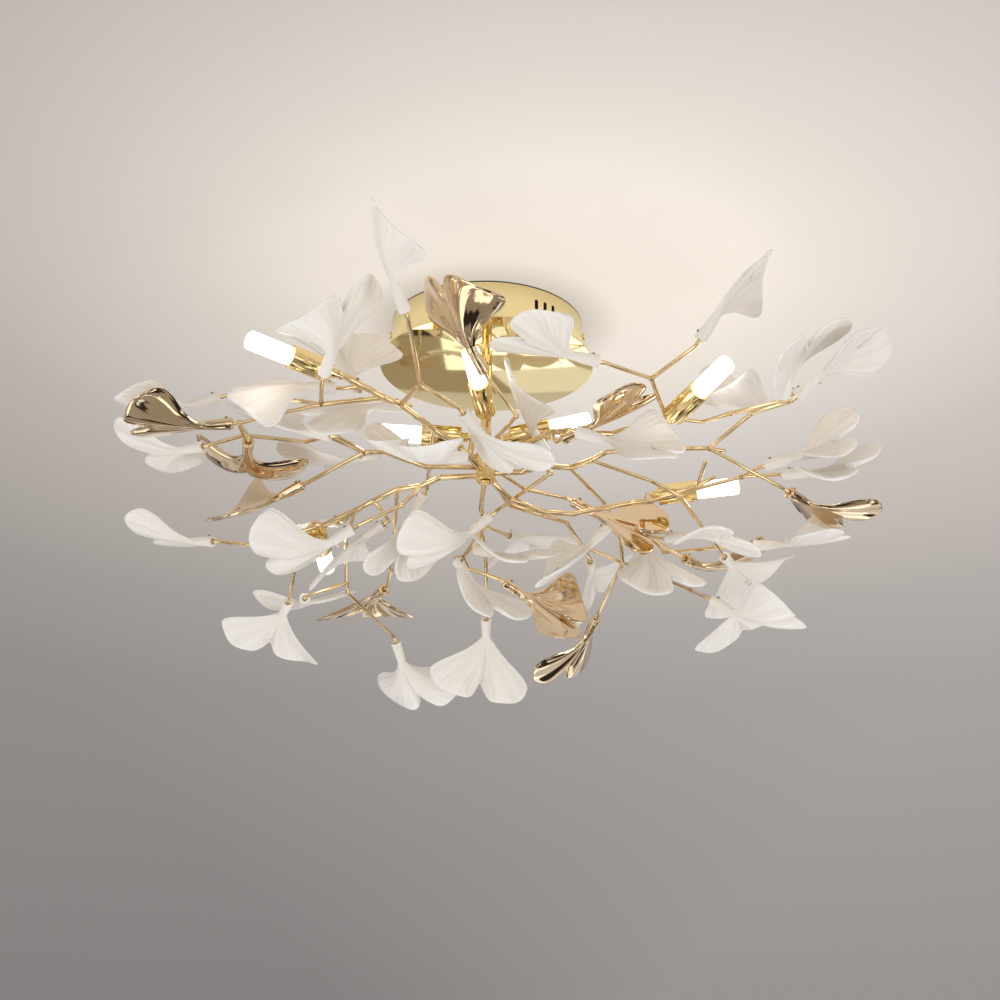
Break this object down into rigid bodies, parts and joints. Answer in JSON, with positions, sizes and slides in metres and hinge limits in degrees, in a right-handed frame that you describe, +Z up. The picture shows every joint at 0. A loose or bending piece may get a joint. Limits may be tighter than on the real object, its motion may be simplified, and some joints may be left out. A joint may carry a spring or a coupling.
{
  "type": "flush mount ceiling light",
  "caption": "Flush ceiling light: round polished canopy, short stem and hub with branching rods that carry ginkgo-leaf fans and small cup lamps with capsule bulbs.",
  "frame": {"origin": "centre of the ceiling bracket's top face, on the ceiling plane and on the stem's axis", "axes": "+Z up into the ceiling, -Y towards the picture's viewer, +X to the picture's right"},
  "size_m": [0.7935, 0.7684, 0.3149],
  "materials": {
    "white_ceramic": "satin",
    "gold_plated": "polished",
    "brass_rod": "polished",
    "canopy_brass": "polished",
    "mirror_brass": "mirror polished",
    "lit_glass": "frosted, lit",
    "bracket_steel": "zinc plated",
    "terminal_plastic": "matt",
    "socket_ceramic": "matt"
  },
  "bodies": {
    "fixture": {"arm_front": "brass_rod", "arm_front_left": "brass_rod", "arm_front_right": "brass_rod", "arm_lamp_front": "brass_rod", "arm_lamp_left": "brass_rod", "arm_lamp_right": "brass_rod", "arm_left": "brass_rod", "arm_rear": "brass_rod", "arm_rear_left": "brass_rod", "arm_rear_right": "brass_rod", "arm_right": "brass_rod", "arm_right_gold": "brass_rod", "arm_right_low": "brass_rod", "canopy_cup": "canopy_brass", "canopy_disc": "mirror_brass", "canopy_screws": "canopy_brass", "ceiling_bracket": "bracket_steel", "hub_body": "brass_rod", "hub_cap": "brass_rod", "lamp_cups": "brass_rod", "lamp_sockets": "socket_ceramic", "leaf_gold_front": "gold_plated", "leaf_gold_front_left": "gold_plated", "leaf_gold_front_right": "gold_plated", "leaf_gold_left": "gold_plated", "leaf_gold_rear": "gold_plated", "leaf_gold_rear_left": "gold_plated", "leaf_gold_right": "gold_plated", "leaf_gold_right_drop": "gold_plated", "leaf_gold_right_far": "gold_plated", "leaf_white_front_inner": "white_ceramic", "leaf_white_front_knob": "white_ceramic", "leaf_white_front_left": "white_ceramic", "leaf_white_front_right": "white_ceramic", "leaf_white_left": "white_ceramic", "leaf_white_rear": "white_ceramic", "leaf_white_rear_hang": "white_ceramic", "leaf_white_rear_left": "white_ceramic", "leaf_white_rear_right": "white_ceramic", "leaf_white_right_drop": "white_ceramic", "leaf_white_right_far": "white_ceramic", "leaf_white_right_inner": "white_ceramic", "leaf_white_right_low": "white_ceramic", "leaf_white_right_pair": "white_ceramic", "stem_nut": "bracket_steel", "stem_tube": "brass_rod", "terminal_block": "terminal_plastic"},
    "bulb_1": {"bulb_1": "lit_glass"},
    "bulb_2": {"bulb_2": "lit_glass"},
    "bulb_3": {"bulb_3": "lit_glass"},
    "bulb_4": {"bulb_4": "lit_glass"},
    "bulb_5": {"bulb_5": "lit_glass"},
    "bulb_6": {"bulb_6": "lit_glass"},
    "bulb_7": {"bulb_7": "lit_glass"}
  },
  "joints": [
    {"name": "bulb_1_pull", "type": "slide", "parent": "fixture", "child": "bulb_1", "axis": [-0.8352, -0.5369, 0.1193], "range_m": [0, 0.034]},
    {"name": "bulb_2_pull", "type": "slide", "parent": "fixture", "child": "bulb_2", "axis": [-0.1826, -0.9129, 0.3651], "range_m": [0, 0.034]},
    {"name": "bulb_3_pull", "type": "slide", "parent": "fixture", "child": "bulb_3", "axis": [-0.9983, 0, 0.0587], "range_m": [0, 0.034]},
    {"name": "bulb_4_pull", "type": "slide", "parent": "fixture", "child": "bulb_4", "axis": [0.9701, 0, 0.2425], "range_m": [0, 0.034]},
    {"name": "bulb_5_pull", "type": "slide", "parent": "fixture", "child": "bulb_5", "axis": [0.5427, -0.7839, 0.3015], "range_m": [0, 0.034]},
    {"name": "bulb_6_pull", "type": "slide", "parent": "fixture", "child": "bulb_6", "axis": [0.9831, -0.1735, 0.0578], "range_m": [0, 0.034]},
    {"name": "bulb_7_pull", "type": "slide", "parent": "fixture", "child": "bulb_7", "axis": [0.0578, 0.9831, -0.1735], "range_m": [0, 0.034]}
  ]
}
